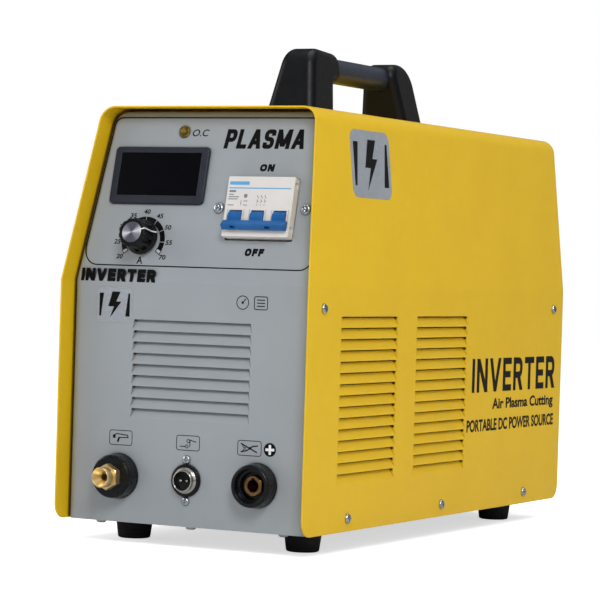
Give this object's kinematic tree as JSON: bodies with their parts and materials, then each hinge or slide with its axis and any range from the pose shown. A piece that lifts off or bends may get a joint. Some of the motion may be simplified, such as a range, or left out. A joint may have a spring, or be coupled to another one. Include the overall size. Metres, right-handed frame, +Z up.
{
  "type": "plasma cutter unit",
  "caption": "Portable inverter plasma cutter: folded sheet-steel case with a sloped control panel, carry handle, louvres, front sockets, and a fan, gas inlet and cord behind.",
  "frame": {"origin": "on the floor under the middle of the unit's bounding box", "axes": "+Z up, -Y out of the control panel and sockets, +Y out of the rear panel, +X to the right seen from the front"},
  "size_m": [0.2094, 0.5314, 0.3756],
  "materials": {
    "cover_paint": "yellow powder coat, satin",
    "panel_paint": "grey powder coat, fine texture",
    "zinc_sheet": "zinc-plated sheet",
    "foot_rubber": "moulded black rubber",
    "screw_steel": "bright zinc plating",
    "handle_plastic": "satin moulded nylon",
    "tube_coat": "dark coated steel tube",
    "knob_plastic": "moulded black",
    "cap_metal": "spun aluminium disc",
    "steel": "plain turned steel",
    "pot_case": "black phenolic and tin",
    "led_lens": "amber lens",
    "led_ring": "yellow passivated ring",
    "bezel_plastic": "dark slate, fine texture",
    "window_black": "smoked window",
    "circuit_board": "solder mask",
    "digit_block": "display module",
    "breaker_shell": "off-white moulding",
    "toggle_blue": "blue moulding",
    "socket_black": "black phenolic",
    "brass": "turned brass",
    "nickel": "nickel plate",
    "fan_plastic": "black moulding",
    "cord_rubber": "rubber sheath",
    "valve_case": "moulded coil on a brass block",
    "heatsink_alloy": "extruded aluminium",
    "device_epoxy": "moulded epoxy",
    "can_sleeve": "heat-shrink sleeve",
    "ferrite": "sintered ferrite",
    "winding": "enamelled copper"
  },
  "bodies": {
    "case": {"top_cover": "cover_paint", "front_panel": "panel_paint", "rear_panel": "panel_paint", "base_pan": "zinc_sheet", "breaker_bracket": "zinc_sheet", "rubber_feet": "foot_rubber", "foot_screws": "screw_steel", "cover_screws": "screw_steel", "base_screws": "screw_steel", "handle_screws": "screw_steel", "breaker_screws": "screw_steel", "control_socket_screws": "screw_steel", "fan_screws": "screw_steel", "board_standoffs": "screw_steel", "handle_front_post": "handle_plastic", "handle_rear_post": "handle_plastic", "handle_tube": "tube_coat", "potentiometer_nut": "steel", "gas_valve_spring": "steel", "earth_stud": "steel", "potentiometer_body": "pot_case", "status_led": "led_lens", "led_holder": "led_ring", "display_bezel": "bezel_plastic", "display_window": "window_black", "display_board": "circuit_board", "power_board": "circuit_board", "display_digits": "digit_block", "breaker_body": "breaker_shell", "torch_socket_flange": "socket_black", "clamp_socket_flange": "socket_black", "socket_washers": "socket_black", "control_socket_gasket": "socket_black", "control_socket_insert": "socket_black", "torch_fitting": "brass", "clamp_socket_insert": "brass", "socket_nuts": "brass", "gas_inlet": "brass", "control_socket_shell": "nickel", "control_socket_pins": "nickel", "fan_guard": "nickel", "fan_frame": "fan_plastic", "cable_gland": "fan_plastic", "mains_cord": "cord_rubber", "gas_hose": "cord_rubber", "gas_valve_body": "valve_case", "heatsinks": "heatsink_alloy", "power_transistors": "device_epoxy", "bridge_rectifier": "device_epoxy", "bulk_capacitors": "can_sleeve", "transformer_core": "ferrite", "transformer_windings": "winding", "output_inductor": "winding", "output_busbar": "winding"},
    "knob": {"control_knob": "knob_plastic", "knob_cap": "cap_metal", "potentiometer_shaft": "steel"},
    "toggle": {"breaker_toggle": "toggle_blue"},
    "fan": {"fan_rotor": "fan_plastic"},
    "plunger": {"gas_valve_plunger": "steel"}
  },
  "joints": [
    {"name": "knob_turn", "type": "hinge", "parent": "case", "child": "knob", "pos_m": [-0.046, -0.23223, 0.2238], "axis": [0, -0.9748, 0.2229], "range_deg": [-51, 197]},
    {"name": "breaker_switch", "type": "hinge", "parent": "case", "child": "toggle", "pos_m": [0.0489, -0.23216, 0.23978], "axis": [-1, 0, 0], "range_deg": [0, 80]},
    {"name": "fan_spin", "type": "hinge", "parent": "case", "child": "fan", "pos_m": [0, 0.1885, 0.205], "axis": [0, 1, 0], "continuous": true},
    {"name": "valve_lift", "type": "slide", "parent": "case", "child": "plunger", "axis": [0, 0, 1], "range_m": [0, 0.0015], "deforming": ["gas_valve_spring"]}
  ]
}
